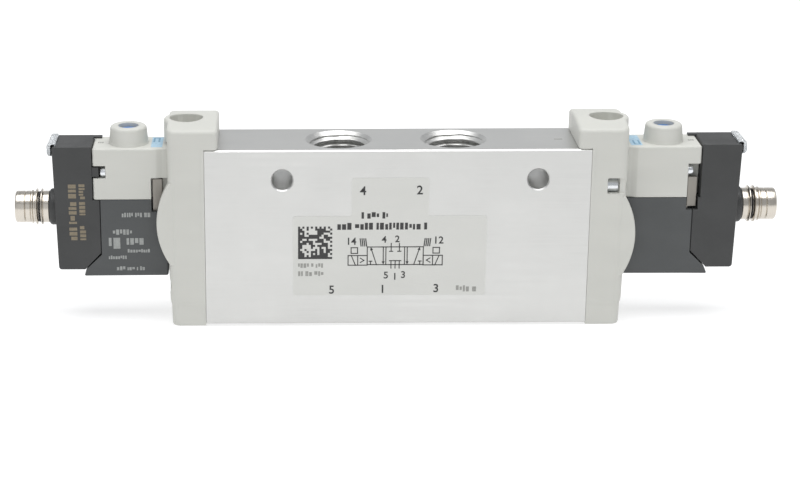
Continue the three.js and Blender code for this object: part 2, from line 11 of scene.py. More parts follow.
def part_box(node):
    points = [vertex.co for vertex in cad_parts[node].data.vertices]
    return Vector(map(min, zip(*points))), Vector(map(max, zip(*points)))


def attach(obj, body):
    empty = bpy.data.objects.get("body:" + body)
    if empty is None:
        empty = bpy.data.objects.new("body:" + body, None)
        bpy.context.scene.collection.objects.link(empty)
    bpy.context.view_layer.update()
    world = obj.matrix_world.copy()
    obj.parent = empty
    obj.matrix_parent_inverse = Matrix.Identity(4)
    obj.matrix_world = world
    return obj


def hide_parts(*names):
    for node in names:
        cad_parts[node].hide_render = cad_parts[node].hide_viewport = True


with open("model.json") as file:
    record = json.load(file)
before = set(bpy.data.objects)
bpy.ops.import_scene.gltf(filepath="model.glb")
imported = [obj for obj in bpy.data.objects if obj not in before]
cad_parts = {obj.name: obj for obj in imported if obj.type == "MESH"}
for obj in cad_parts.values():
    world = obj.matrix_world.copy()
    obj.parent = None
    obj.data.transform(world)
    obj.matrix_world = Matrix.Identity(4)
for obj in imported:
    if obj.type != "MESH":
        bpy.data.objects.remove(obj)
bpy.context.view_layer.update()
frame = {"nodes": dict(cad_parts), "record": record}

MM = 0.001
HALF_TURN = Matrix.Rotation(math.pi, 4, "Z")
ENDS = (("right", Matrix.Identity(4)), ("left", HALF_TURN))


# ------------------------------------------------------------ places from the frame
def box_mm(node):
    low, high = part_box(node)
    return low / MM, high / MM


body_low, body_high = box_mm("valve_body")
cap_low, cap_high = box_mm("end_cap_right")
housing_low, housing_high = box_mm("pilot_housing_right")
case_low, case_high = box_mm("solenoid_case_right")
base_low, base_high = box_mm("plug_base_right")
sleeve_low, sleeve_high = box_mm("plug_sleeve_right")
collar_low, collar_high = box_mm("override_collar_right")
button_low, button_high = box_mm("override_button_right")
guide_low, guide_high = box_mm("light_guide_right")
yoke_low, yoke_high = box_mm("solenoid_yoke_right")
label_low, _ = box_mm("type_label")
spool_low, spool_high = box_mm("spool")

spool_z = (spool_low.z + spool_high.z) / 2
pilot_x = (collar_low.x + collar_high.x) / 2
plug_z = (sleeve_low.z + sleeve_high.z) / 2


# ------------------------------------------------------------ mesh tools
def new_object(name, mesh):
    piece = bpy.data.objects.new(name, mesh)
    bpy.context.scene.collection.objects.link(piece)
    return piece


def from_faces(name, points, faces):
    mesh = bpy.data.meshes.new(name)
    mesh.from_pydata([tuple(p) for p in points], [], faces)
    work = bmesh.new()
    work.from_mesh(mesh)
    bmesh.ops.recalc_face_normals(work, faces=work.faces)
    work.to_mesh(mesh)
    work.free()
    return new_object(name, mesh)


def rounded(corners, steps=6):
    """An outline from (a, b, radius) corners, each rounded by an arc of its own radius."""
    outline = []
    count = len(corners)
    for i, (a, b, radius) in enumerate(corners):
        here = Vector((a, b))
        if radius <= 0:
            outline.append(here)
            continue
        before = Vector(corners[i - 1][:2]) - here
        after = Vector(corners[(i + 1) % count][:2]) - here
        half_angle = before.angle(after) / 2
        reach = radius / math.tan(half_angle)
        start = here + before.normalized() * reach
        end = here + after.normalized() * reach
        middle = (before.normalized() + after.normalized()).normalized()
        centre = here + middle * (radius / math.sin(half_angle))
        first = start - centre
        sweep = first.angle_signed(end - centre)
        for k in range(steps + 1):
            turn = Matrix.Rotation(-sweep * k / steps, 2)
            outline.append(centre + turn @ first)
    return outline


def arc(centre, radius, start_deg, end_deg, steps=24):
    points = []
    for k in range(steps + 1):
        angle = math.radians(start_deg + (end_deg - start_deg) * k / steps)
        points.append(Vector((centre[0] + radius * math.cos(angle), centre[1] + radius * math.sin(angle))))
    return points


AXES = {
    "x": lambda a, b, c: (c, a, b),
    "y": lambda a, b, c: (a, c, b),
    "z": lambda a, b, c: (a, b, c),
}


def prisms(name, outlines, axis, low, high):
    """Outlines in the two other axes, in their X, Y, Z order, each extruded along axis, as one mesh."""
    place = AXES[axis]
    points, faces = [], []
    for outline in outlines:
        start, count = len(points), len(outline)
        points += [place(p[0], p[1], low) for p in outline] + [place(p[0], p[1], high) for p in outline]
        near = list(range(start, start + count))
        far = [i + count for i in near]
        faces += [tuple(near), tuple(far)]
        faces += [(near[i - 1], near[i], far[i], far[i - 1]) for i in range(count)]
    return from_faces(name, points, faces)


def prism(name, outline, axis, low, high):
    return prisms(name, [outline], axis, low, high)


def loft(name, rings):
    """Rings with equal numbers of points, bridged in turn. The first and the last are closed by a face."""
    count = len(rings[0])
    points = [point for ring in rings for point in ring]
    faces = [tuple(range(count)), tuple(range(len(points) - count, len(points)))]
    for i in range(len(rings) - 1):
        for k in range(count):
            j = (k + 1) % count
            faces.append((i * count + k, i * count + j, (i + 1) * count + j, (i + 1) * count + k))
    return from_faces(name, points, faces)


def cuboid(name, x, y, z):
    return prism(name, [(x[0], y[0]), (x[1], y[0]), (x[1], y[1]), (x[0], y[1])], "z", z[0], z[1])


def turned(name, profile, axis, centre, sides=96):
    """A closed (radius, height) profile turned about an axis through centre. Radius 0 is the axis itself."""
    place = AXES[axis]
    points = []
    rings = []
    for radius, height in profile:
        if radius <= 0:
            rings.append([len(points)])
            points.append(place(centre[0], centre[1], height))
            continue
        rings.append(list(range(len(points), len(points) + sides)))
        for k in range(sides):
            angle = 2 * math.pi * k / sides
            points.append(place(
                centre[0] + radius * math.cos(angle), centre[1] + radius * math.sin(angle), height
            ))
    faces = []
    for i, ring in enumerate(rings):
        after = rings[(i + 1) % len(rings)]
        if len(ring) == 1 and len(after) == 1:
            continue
        for k in range(sides):
            j = (k + 1) % sides
            corners = [ring[k % len(ring)], ring[j % len(ring)], after[j % len(after)], after[k % len(after)]]
            unique = list(dict.fromkeys(corners))
            faces.append(tuple(unique))
    return from_faces(name, points, faces)


def rod(name, axis, low, high, radius, centre, sides=64):
    return turned(name, [(0, low), (radius, low), (radius, high), (0, high)], axis, centre, sides)


def fold(piece, modifier_type, **settings):
    """Adds a modifier, applies it to the mesh and removes it."""
    modifier = piece.modifiers.new(modifier_type.lower(), modifier_type)
    for key, value in settings.items():
        setattr(modifier, key, value)
    graph = bpy.context.evaluated_depsgraph_get()
    mesh = bpy.data.meshes.new_from_object(piece.evaluated_get(graph))
    piece.modifiers.clear()
    old = piece.data
    piece.data = mesh
    bpy.data.meshes.remove(old)
    return piece


def combine(piece, operation, *tools):
    for tool in tools:
        fold(piece, "BOOLEAN", operation=operation, object=tool, solver="EXACT")
        bpy.data.objects.remove(tool)
    return piece


def cut(piece, *tools):
    return combine(piece, "DIFFERENCE", *tools)


def join(piece, *others):
    return combine(piece, "UNION", *others)


def round_edges(piece, radius, segments, keep):
    """Rounds the sharp edges for which keep(middle, direction) is true."""
    work = bmesh.new()
    work.from_mesh(piece.data)
    chosen = []
    for edge in work.edges:
        if not edge.is_manifold or edge.calc_face_angle(0) < math.radians(25):
            continue
        middle = (edge.verts[0].co + edge.verts[1].co) / 2
        direction = (edge.verts[1].co - edge.verts[0].co).normalized()
        if keep(middle, direction):
            chosen.append(edge)
    bmesh.ops.bevel(
        work, geom=chosen, offset=radius, offset_type="OFFSET", segments=segments, profile=0.5,
        affect="EDGES", clamp_overlap=False,
    )
    work.to_mesh(piece.data)
    work.free()
    return piece


def soften(piece, radius, segments=2, angle=30):
    """A small radius on every edge sharper than angle."""
    return fold(
        piece, "BEVEL", width=radius, segments=segments, limit_method="ANGLE",
        angle_limit=math.radians(angle), use_clamp_overlap=False, miter_outer="MITER_ARC",
    )


def shade(piece, angle=35):
    mesh = piece.data
    for polygon in mesh.polygons:
        polygon.use_smooth = True
    mesh.set_sharp_from_angle(angle=math.radians(angle))
    modifier = piece.modifiers.new("even_normals", "WEIGHTED_NORMAL")
    modifier.keep_sharp = True
    modifier.weight = 100
    return piece


def settle(piece, material, slot, body, *nodes):
    """Metres, material and body of a finished piece. Its slot argument is not used."""
    piece.data.transform(Matrix.Scale(MM, 4))
    piece.data.materials.clear()
    piece.data.materials.append(material)
    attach(piece, body)
    if nodes:
        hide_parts(*nodes)
    return piece


def at_end(piece, end, turn, material, slot, body, node):
    """Settles a copy of a right-end piece at one end. A body of its own is named with {end}."""
    copy = new_object(f"{piece.name}_{end}", piece.data.copy())
    copy.data.transform(turn)
    for modifier in piece.modifiers:
        twin = copy.modifiers.new(modifier.name, modifier.type)
        twin.keep_sharp = modifier.keep_sharp
        twin.weight = modifier.weight
    nodes = [node.format(end=end)] if node else []
    settle(copy, material, slot, body.format(end=end), *nodes)


def at_both_ends(piece, material, slot, body="valve", node=None):
    for end, turn in ENDS:
        at_end(piece, end, turn, material, slot, body, node)
    bpy.data.objects.remove(piece)


# ------------------------------------------------------------ materials
class Graph:
    """A material's node tree around its Principled shader."""

    def __init__(self, name, roughness=0.5, metallic=0.0, **inputs):
        self.material = bpy.data.materials.new(name)
        self.material.use_nodes = True
        self.tree = self.material.node_tree
        self.shader = self.tree.nodes["Principled BSDF"]
        self.shader.inputs["Roughness"].default_value = roughness
        self.shader.inputs["Metallic"].default_value = metallic
        for key, value in inputs.items():
            self.shader.inputs[key.replace("_", " ")].default_value = value
        self.coordinates = self.tree.nodes.new("ShaderNodeTexCoord").outputs["Object"]

    def link(self, source, target):
        self.tree.links.new(source, target)

    def stretched(self, scale):
        mapping = self.tree.nodes.new("ShaderNodeMapping")
        mapping.inputs["Scale"].default_value = scale
        self.link(self.coordinates, mapping.inputs["Vector"])
        return mapping.outputs["Vector"]

    def noise(self, scale, detail=3.0, roughness=0.6, stretch=(1, 1, 1)):
        node = self.tree.nodes.new("ShaderNodeTexNoise")
        node.inputs["Scale"].default_value = scale
        node.inputs["Detail"].default_value = detail
        node.inputs["Roughness"].default_value = roughness
        self.link(self.stretched(stretch), node.inputs["Vector"])
        return node.outputs["Fac"]

    def spread(self, value, low, high, to_low, to_high):
        node = self.tree.nodes.new("ShaderNodeMapRange")
        for key, number in (("From Min", low), ("From Max", high), ("To Min", to_low), ("To Max", to_high)):
            node.inputs[key].default_value = number
        self.link(value, node.inputs["Value"])
        return node.outputs["Result"]

    def blend(self, factor, first, second):
        node = self.tree.nodes.new("ShaderNodeMix")
        node.data_type = "RGBA"
        self.link(factor, node.inputs["Factor"])
        for socket, value in ((node.inputs["A"], first), (node.inputs["B"], second)):
            if isinstance(value, tuple):
                socket.default_value = (*value, 1)
            else:
                self.link(value, socket)
        return node.outputs["Result"]

    def color(self, source):
        self.link(source, self.shader.inputs["Base Color"])

    def roughness(self, source):
        self.link(source, self.shader.inputs["Roughness"])

    def bump(self, height, distance, strength=1.0):
        node = self.tree.nodes.new("ShaderNodeBump")
        node.inputs["Distance"].default_value = distance
        node.inputs["Strength"].default_value = strength
        self.link(height, node.inputs["Height"])
        if self.shader.inputs["Normal"].is_linked:
            self.link(self.shader.inputs["Normal"].links[0].from_socket, node.inputs["Normal"])
        self.link(node.outputs["Normal"], self.shader.inputs["Normal"])


def shade_of(color, factor):
    return tuple(min(1.0, part * factor) for part in color)


def moulded(name, color, roughness, grain=0.012, mottle=0.04, coat=0.0):
    """Moulded plastic: a fine spark-eroded grain, faint flow mottling and rubbed patches."""
    graph = Graph(name, roughness, Coat_Weight=coat, Coat_Roughness=0.25)
    flow = graph.noise(55, detail=2, stretch=(1, 1, 2.5))
    tone = graph.spread(flow, 0.3, 0.7, 0, 1)
    base = graph.blend(tone, shade_of(color, 1 - mottle), shade_of(color, 1 + mottle))
    dust = graph.spread(graph.noise(9000, detail=1), 0.68, 0.78, 0, 0.35)
    graph.color(graph.blend(dust, base, shade_of(color, 1.12)))
    rubbed = graph.noise(140, detail=4, roughness=0.7)
    graph.roughness(graph.spread(rubbed, 0.35, 0.7, roughness - 0.07, roughness + 0.08))
    graph.bump(graph.noise(4200, detail=2), grain * MM, 0.5)
    return graph.material


def machined(name, color, roughness, stretch, scale=900, depth=0.003, metallic=1.0, mottle=0.05):
    """Metal with cutting or drawing lines across the long side of its stretched noise."""
    graph = Graph(name, roughness, metallic)
    lines = graph.noise(scale, detail=4, roughness=0.65, stretch=stretch)
    cloud = graph.noise(70, detail=3)
    tone = graph.spread(cloud, 0.3, 0.7, 0, 1)
    base = graph.blend(tone, shade_of(color, 1 - mottle), shade_of(color, 1 + mottle))
    streak = graph.spread(lines, 0.35, 0.65, 0, 1)
    graph.color(graph.blend(streak, base, shade_of(color, 1 + 0.8 * mottle)))
    graph.roughness(graph.spread(lines, 0.3, 0.7, roughness - 0.06, roughness + 0.08))
    graph.bump(lines, depth * MM, 0.6)
    return graph.material


GREY = (0.575, 0.575, 0.535)
MATERIALS = {
    "aluminium_body": machined("anodised_aluminium", (0.62, 0.62, 0.605), 0.42, (0.03, 1, 1), 1400, 0.004),
    "label_film": moulded("label_film", (0.63, 0.63, 0.60), 0.42, 0.002, 0.02),
    "spool_aluminium": machined("ground_aluminium", (0.55, 0.56, 0.57), 0.3, (1, 0.05, 0.05)),
    "rubber": moulded("nitrile_rubber", (0.02, 0.02, 0.021), 0.6, 0.006, 0.1),
    "cap_plastic": moulded("light_grey_plastic", GREY, 0.5, 0.012, 0.025),
    "zinc_steel": machined("zinc_plated_steel", (0.72, 0.74, 0.76), 0.22, (0.2, 1, 1), 1200, 0.003),
    "nickel_brass": machined("nickel_plated_brass", (0.60, 0.56, 0.50), 0.24, (1, 0.05, 0.05), 1600, 0.003),
    "blue_plastic": moulded("blue_plastic", (0.06, 0.19, 0.47), 0.35, 0.004, 0.05),
    "coil_plastic": moulded("slate_plastic", (0.066, 0.070, 0.071), 0.5, 0.014, 0.06),
    "yoke_steel": machined("satin_yoke_steel", (0.27, 0.255, 0.23), 0.4, (1, 1, 0.06), 1500, 0.004),
    "bobbin_plastic": moulded("natural_polyamide", (0.74, 0.70, 0.56), 0.5),
    "copper_wire": machined("enamelled_copper", (0.55, 0.22, 0.08), 0.35, (0.05, 0.05, 1), 2500, 0.02),
    "black_plastic": moulded("black_plastic", (0.040, 0.041, 0.041), 0.52, 0.014, 0.08),
    "circuit_board": moulded("solder_resist", (0.03, 0.12, 0.05), 0.35, 0.003),
    "spring_steel": machined("drawn_spring_wire", (0.42, 0.43, 0.43), 0.3, (1, 1, 0.3), 1800),
}


def clear_plastic():
    graph = Graph("clear_plastic", 0.16, IOR=1.5, Transmission_Weight=0.62)
    haze = graph.noise(260, detail=3)
    graph.color(graph.blend(graph.spread(haze, 0.3, 0.7, 0, 1), (0.80, 0.83, 0.85), (0.90, 0.92, 0.93)))
    graph.roughness(graph.spread(haze, 0.3, 0.7, 0.08, 0.2))
    return graph.material


MATERIALS["clear_plastic"] = clear_plastic()


def ink(name, color, roughness=0.55):
    """Printed ink with a slightly broken edge of tone."""
    graph = Graph(name, roughness)
    worn = graph.spread(graph.noise(2600, detail=2), 0.25, 0.75, 0, 1)
    graph.color(graph.blend(worn, shade_of(color, 0.85), shade_of(color, 1.2)))
    return graph.material


DARK_INK = ink("dark_print", (0.035, 0.035, 0.035))
PALE_INK = ink("pale_print", (0.30, 0.31, 0.30))
GOLD_INK = ink("gold_print", (0.21, 0.175, 0.12))
FAINT_INK = ink("faint_print", (0.30, 0.30, 0.28))
SKY_INK = ink("pale_blue_print", (0.36, 0.52, 0.64))
SEA_INK = ink("mid_blue_print", (0.16, 0.30, 0.42))
GOLD = machined("gold_plated_contact", (0.80, 0.62, 0.30), 0.2, (0.2, 1, 1), 1500, 0.002)

node_slots = {part["node"]: part["material_slot"] for part in frame["record"]["subparts"]}
for node_name, node in frame["nodes"].items():
    node.data.materials.clear()
    node.data.materials.append(MATERIALS[node_slots[node_name]])


# ------------------------------------------------------------ valve body
PORT_PITCH = 12.5
PORT_MINOR, PORT_MAJOR, PORT_MOUTH = 5.72, 6.58, 7.25
THREAD_PITCH = 1.337
PORT_DEPTH, PASSAGE = 11, 3.2
MOUNTING_HOLE, MOUNTING_RIM, MOUNTING_Z = 2.25, 2.5, 33.3
MOUNTING_X = (-24.8, 30.2)
BORE, CUT = 6, 1
TOP_PORTS = (-PORT_PITCH, PORT_PITCH)
BOTTOM_PORTS = (-2 * PORT_PITCH, 0, 2 * PORT_PITCH)


def port_cutter(x, face, inwards):
    chamfer = PORT_MOUTH - PORT_MAJOR
    steps = [
        (0, -CUT), (PORT_MOUTH + CUT, -CUT), (PORT_MOUTH, 0), (PORT_MAJOR, chamfer), (PORT_MAJOR, PORT_DEPTH),
        (PASSAGE, PORT_DEPTH + 1.2), (PASSAGE, abs(face - spool_z)), (0, abs(face - spool_z)),
    ]
    return turned("port_cutter", [(r, face + inwards * h) for r, h in steps], "z", (x, 0), 96)


def valve_body():
    x, y, z = ((body_low[i], body_high[i]) for i in range(3))
    piece = cuboid("body_shell", x, y, z)
    round_edges(piece, 0.3, 1, lambda middle, direction: abs(direction.x) > 0.9)
    cut(piece, rod("bore", "x", x[0] - CUT, x[1] + CUT, BORE, (0, spool_z), 64))
    for port_x in TOP_PORTS:
        cut(piece, port_cutter(port_x, z[1], -1))
    for port_x in BOTTOM_PORTS:
        cut(piece, port_cutter(port_x, z[0], 1))
    rim = MOUNTING_RIM - MOUNTING_HOLE
    for hole_x in MOUNTING_X:
        profile = [
            (0, y[0] - CUT), (MOUNTING_RIM + CUT, y[0] - CUT), (MOUNTING_RIM, y[0]),
            (MOUNTING_HOLE, y[0] + rim), (MOUNTING_HOLE, y[1] - rim),
            (MOUNTING_RIM, y[1]), (MOUNTING_RIM + CUT, y[1] + CUT), (0, y[1] + CUT),
        ]
        cut(piece, turned("mounting_cutter", profile, "y", (hole_x, MOUNTING_Z), 64))
    shade(piece, 25)
    return settle(piece, MATERIALS["aluminium_body"], "aluminium_body", "valve", "valve_body")


def thread_liner(name, x, face, inwards):
    """The port's cut thread: a sleeve whose inner wall is a helical V groove running out into the mouth."""
    sides, per_turn = 72, 10
    length = PORT_DEPTH - 0.3
    rows = int(length / THREAD_PITCH * per_turn)
    points, faces = [], []
    for row in range(rows + 1):
        depth = 0.02 + length * row / rows
        for k in range(sides):
            angle = 2 * math.pi * k / sides
            phase = (depth / THREAD_PITCH + inwards * k / sides) % 1
            tooth = min(1, max(0, abs(phase - 0.5) * 2.6 - 0.15))
            radius = PORT_MAJOR + 0.02 - (PORT_MAJOR - PORT_MINOR) * tooth
            radius = max(radius, PORT_MOUTH - depth)
            points.append((x + radius * math.cos(angle), radius * math.sin(angle), face + inwards * depth))
    outer = len(points)
    for depth in (0.02 + length, 0.02):
        for k in range(sides):
            angle = 2 * math.pi * k / sides
            wall = PORT_MAJOR + 0.3 if depth > 1 else PORT_MOUTH + 0.02
            points.append((x + wall * math.cos(angle), wall * math.sin(angle), face + inwards * depth))
    rings = [list(range(i * sides, (i + 1) * sides)) for i in range(rows + 1)]
    rings += [list(range(outer + i * sides, outer + (i + 1) * sides)) for i in range(2)]
    for i, ring in enumerate(rings):
        after = rings[(i + 1) % len(rings)]
        for k in range(sides):
            j = (k + 1) % sides
            faces.append((ring[k], ring[j], after[j], after[k]))
    piece = from_faces(name, points, faces)
    shade(piece, 40)
    return settle(piece, MATERIALS["aluminium_body"], "aluminium_body", "valve")


valve_body()
for port_name, port_x in zip(("4", "2"), TOP_PORTS):
    thread_liner(f"port_thread_{port_name}", port_x, body_high.z, -1)
for port_name, port_x in zip(("5", "1", "3"), BOTTOM_PORTS):
    thread_liner(f"port_thread_{port_name}", port_x, body_low.z, 1)


# ------------------------------------------------------------ end caps
LIP_X, CAP_OUTER, CAP_FOOT, TAPER_Z = cap_low.x, 49.5, 49.2, 12
CAP_RISE, CAP_EDGE, LIP_CORNER, OUTER_CORNER = 0.9, 0.75, 1.0, 2.0
BOSS_X, BOSS_R = 45.5, 4.9
CHEEK_INNER, CHEEK_OUTER, CHEEK_REACH_A, CHEEK_REACH_B, CHEEK_ROOT = 5.6, 8.75, 2.8, 2.45, 49.2
CHEEK_A, CHEEK_B = (14.05, 32.55), (11.45, 29.25)
RECESS_R, RECESS_DEPTH, RECESS_EDGE = 3.6, 3.5, 0.3
WINDOW_X, WINDOW_Z, WINDOW_DEPTH = (45.1, 47.8), (29.95, 33.45), 4
CHANNEL_DEPTH = 0.55
CHAMBER_R, CHAMBER_END = 5.5, 46.6
FOOT_STEP, FOOT_STEP_Z = 0.24, (4.6, 5.2, 5.9)


def crown(y):
    """Height of the cap's arched top."""
    return cap_high.z - CAP_RISE * (y / cap_high.y) ** 2


def plan(x0, x1, half_width, corner_in, corner_out, inset, boss=False):
    """A rounded rectangle in x and y, its outer side bulging round the boss where asked, moved in by inset."""
    inner, outer, half = x0 + inset, x1 - inset, half_width - inset
    small, large = max(corner_in - inset, 0.02), max(corner_out - inset, 0.02)
    sides = [arc((inner + small, small - half), small, 180, 270, 6)]
    sides.append(arc((outer - large, large - half), large, 270, 360, 8))
    if boss:
        radius = BOSS_R - inset
        swing = math.degrees(math.acos((outer - BOSS_X) / radius))
        sides.append(arc((BOSS_X, 0), radius, -swing, swing, 16))
    sides.append(arc((outer - large, half - large), large, 0, 90, 8))
    sides.append(arc((inner + small, half - small), small, 90, 180, 6))
    outline = []
    steps = 9
    for side, after in zip(sides, sides[1:] + sides[:1]):
        outline += side
        outline += [side[-1].lerp(after[0], k / steps) for k in range(1, steps)]
    return outline


def cap_head():
    """The cap's arched top with its lip, boss and round recess."""
    underside = body_high.z + 0.05

    def edge_ring(inset, height):
        outline = plan(LIP_X, CAP_OUTER, cap_high.y, LIP_CORNER, OUTER_CORNER, inset, boss=True)
        return [(p.x, p.y, height(p.y)) for p in outline]

    rings = [edge_ring(0.15, lambda y: underside), edge_ring(0, lambda y: underside + 0.15)]
    for k in range(7):
        swing = math.radians(15 * k)
        drop = CAP_EDGE * (1 - math.sin(swing))
        rings.append(edge_ring(CAP_EDGE * (1 - math.cos(swing)), lambda y: crown(y) - drop))
    rim = [Vector(point[:2]) for point in rings[-1]]
    centre = Vector((BOSS_X, 0))

    def round_ring(radius, height):
        points = [centre + (p - centre).normalized() * radius for p in rim]
        return [(p.x, p.y, height(p.y)) for p in points]

    for k in range(1, 5):
        ring = []
        for p in rim:
            near = centre + (p - centre).normalized() * (RECESS_R + RECESS_EDGE)
            q = p.lerp(near, k / 5)
            ring.append((q.x, q.y, crown(q.y)))
        rings.append(ring)
    for k in range(5):
        swing = math.radians(22.5 * k)
        drop = RECESS_EDGE * (1 - math.cos(swing))
        rings.append(round_ring(RECESS_R + RECESS_EDGE * (1 - math.sin(swing)), lambda y: crown(y) - drop))
    floor = cap_high.z - RECESS_DEPTH
    for step, height in ((0, 0.4), (0.12, 0.12), (0.4, 0)):
        rings.append(round_ring(RECESS_R - step, lambda y: floor + height))
    return loft("cap_shell", rings)


def cap_block():
    """The cap from its foot to just above the body, narrower and stepped at the foot."""
    seam = body_high.x + 0.06
    low = cap_low.z
    levels = [(low, 0.6), (low + 0.12, 0.35), (low + 0.5, FOOT_STEP), (FOOT_STEP_Z[0], FOOT_STEP)]
    levels += [(FOOT_STEP_Z[1], FOOT_STEP / 3), (FOOT_STEP_Z[2], 0), (TAPER_Z, 0), (body_high.z + 0.4, 0)]
    rings = []
    for z, inset in levels:
        outer = CAP_FOOT + (CAP_OUTER - CAP_FOOT) * min(1, z / TAPER_Z)
        outline = plan(seam - inset, outer, cap_high.y, 0.1, OUTER_CORNER, inset)
        rings.append([(p.x, p.y, z) for p in outline])
    return loft("cap_block", rings)


def cheek(low, high, y, reach):
    half = (high - low) / 2
    radius = (half ** 2 + reach ** 2) / (2 * reach)
    swing = math.degrees(math.asin(half / radius))
    centre = (CHEEK_ROOT + reach - radius, low + half)
    inside = CAP_OUTER - 2
    outline = [Vector((inside, low)), *arc(centre, radius, -swing, swing, 32), Vector((inside, high))]
    piece = prism("cheek", outline, "y", *y)
    return round_edges(piece, 0.35, 3, lambda middle, _: middle.x > CAP_OUTER - 0.4)


def end_cap():
    low = cap_low
    seam = body_high.x + 0.06
    piece = join(cap_head(), cap_block())
    join(piece, cheek(*CHEEK_A, (CHEEK_INNER, CHEEK_OUTER), CHEEK_REACH_A))
    join(piece, cheek(*CHEEK_B, (-CHEEK_OUTER, -CHEEK_INNER), CHEEK_REACH_B))
    window = [(WINDOW_X[0], WINDOW_Z[0], 0.3), (WINDOW_X[1], WINDOW_Z[0], 0.3),
              (WINDOW_X[1], WINDOW_Z[1], 0.3), (WINDOW_X[0], WINDOW_Z[1], 0.3)]
    cut(piece, prism("window_cutter", rounded(window, 3), "y", low.y - CUT, low.y + WINDOW_DEPTH))
    channel_y, channel_z = (low.y - CUT, low.y + CHANNEL_DEPTH), (WINDOW_Z[0] + 0.1, WINDOW_Z[1] - 0.1)
    cut(piece, cuboid("channel_cutter", (WINDOW_X[1] - 0.5, CAP_OUTER + CUT), channel_y, channel_z))
    cut(piece, rod("chamber_cutter", "x", seam - CUT, CHAMBER_END, CHAMBER_R, (0, spool_z)))
    for node in ("cap_screw_upper_right", "cap_screw_lower_right"):
        screw_low, screw_high = box_mm(node)
        centre = ((screw_low.y + screw_high.y) / 2, (screw_low.z + screw_high.z) / 2)
        head = (screw_high.z - screw_low.z) / 2 + 0.12
        cut(piece, rod("screw_cutter", "x", WINDOW_X[0], CAP_OUTER + 2 * CUT, head, centre, 32))
    soften(piece, 0.08, 2, 40)
    shade(piece, 30)
    at_both_ends(piece, MATERIALS["cap_plastic"], "cap_plastic", node="end_cap_{end}")


end_cap()


# ------------------------------------------------------------ pilot housing
NOTCH_X, NOTCH_TOP, NOTCH_DEPTH = 63, 35.55, 2.95
NOTCH_A_BOTTOM = 32.75
WAIST, WAIST_X = 4.75, (50.8, 52.0)
TAG_X, TAG_Y, PRINT = (50.65, 53.1), (-4, 4), 0.02
TAG_MARK_X, TAG_MARK_Y, TAG_LINE = (51.3, 52.8), (-3.4, -0.2), 0.4
TYPE_MARK_X, TYPE_MARK_Y = (63.6, 64.9), (-0.5, 0.5)
LEG_NOTCH_X, LEG_NOTCH_TOP, LEG_NOTCH_DEPTH = 53.2, 32.75, 1.95


def pilot_housing():
    low, high = housing_low, housing_high
    outline = rounded([
        (low.x, -WAIST, 0), (WAIST_X[0], -WAIST, 1.5), (WAIST_X[1], low.y, 1.5), (high.x, low.y, 0.65),
        (high.x, high.y, 0.65), (WAIST_X[1], high.y, 1.5), (WAIST_X[0], WAIST, 1.5), (low.x, WAIST, 0),
    ], 4)
    piece = prism("pilot_shell", outline, "z", low.z + 0.03, high.z)
    round_edges(piece, 0.5, 4, lambda middle, _: middle.z > high.z - 0.01 and middle.x > low.x + 0.01)
    round_edges(piece, 0.15, 2, lambda middle, _: middle.z < low.z + 0.04 and middle.x > low.x + 0.01)
    cut(piece, cuboid("notch_a", (NOTCH_X, high.x + CUT), (high.y - NOTCH_DEPTH, high.y + CUT),
                      (NOTCH_A_BOTTOM, NOTCH_TOP)))
    cut(piece, cuboid("notch_b", (NOTCH_X, high.x + CUT), (low.y - CUT, low.y + NOTCH_DEPTH),
                      (low.z - CUT, NOTCH_TOP)))
    cut(piece, cuboid("leg_notch", (low.x - CUT, LEG_NOTCH_X), (high.y - LEG_NOTCH_DEPTH, high.y + CUT),
                      (low.z - CUT, LEG_NOTCH_TOP)))
    cut(piece, rod("collar_cutter", "z", collar_low.z - 2.2, high.z + CUT, 3.4, (pilot_x, 0)))
    soften(piece, 0.1, 2, 40)
    shade(piece, 30)
    at_both_ends(piece, MATERIALS["cap_plastic"], "cap_plastic", node="pilot_housing_{end}")


def override_collar():
    top, seat = collar_high.z, housing_high.z
    flare = (collar_high.x - collar_low.x) / 2
    waist, shoulder, bore, ledge = 4.2, 3.98, 2.15, 39.5
    profile = [(2.75, collar_low.z), (3.35, collar_low.z), (3.35, seat - 0.05), (flare, seat - 0.05)]
    profile += [(waist + (flare - waist) * (1 - t) ** 2, seat + 0.9 * t) for t in (0.15, 0.35, 0.6, 0.8, 1)]
    profile += [(shoulder, top - 0.75), (shoulder - 0.06, top - 0.45), (shoulder - 0.2, top - 0.22)]
    profile += [(shoulder - 0.45, top - 0.06), (shoulder - 0.8, top)]
    profile += [(bore + 0.35, top), (bore + 0.1, top - 0.08)]
    profile += [(bore, top - 0.3), (bore, ledge), (2.75, ledge)]
    piece = turned("override_guide", profile, "z", (pilot_x, 0), 96)
    notch_z = seat + 1.55
    cut(piece, cuboid("guide_notch", (pilot_x - flare - CUT, pilot_x - waist + 0.25), (-2.2, -1.2),
                      (notch_z, notch_z + 0.35)))
    shade(piece, 35)
    at_both_ends(piece, MATERIALS["cap_plastic"], "cap_plastic", node="override_collar_{end}")


def override_button():
    radius = (button_high.x - button_low.x) / 2
    low, high = button_low.z, button_high.z
    profile = [(1.05, low), (radius, low), (radius, high - 0.25), (radius - 0.08, high - 0.08)]
    profile += [(radius - 0.25, high), (0, high), (0, high - 0.65), (1.05, high - 0.65)]
    piece = turned("override_cap", profile, "z", (pilot_x, 0), 72)
    slot_half, slot_depth = 0.3, 0.5
    cut(piece, cuboid("slot_cutter", (pilot_x - radius * 0.8, pilot_x + radius * 0.8), (-slot_half, slot_half),
                      (high - slot_depth, high + CUT)))
    soften(piece, 0.04, 2, 40)
    shade(piece, 30)
    own = "override_button_{end}"
    at_both_ends(piece, MATERIALS["blue_plastic"], "blue_plastic", own, own)


def rect(x, y):
    return [(x[0], y[0]), (x[1], y[0]), (x[1], y[1]), (x[0], y[1])]


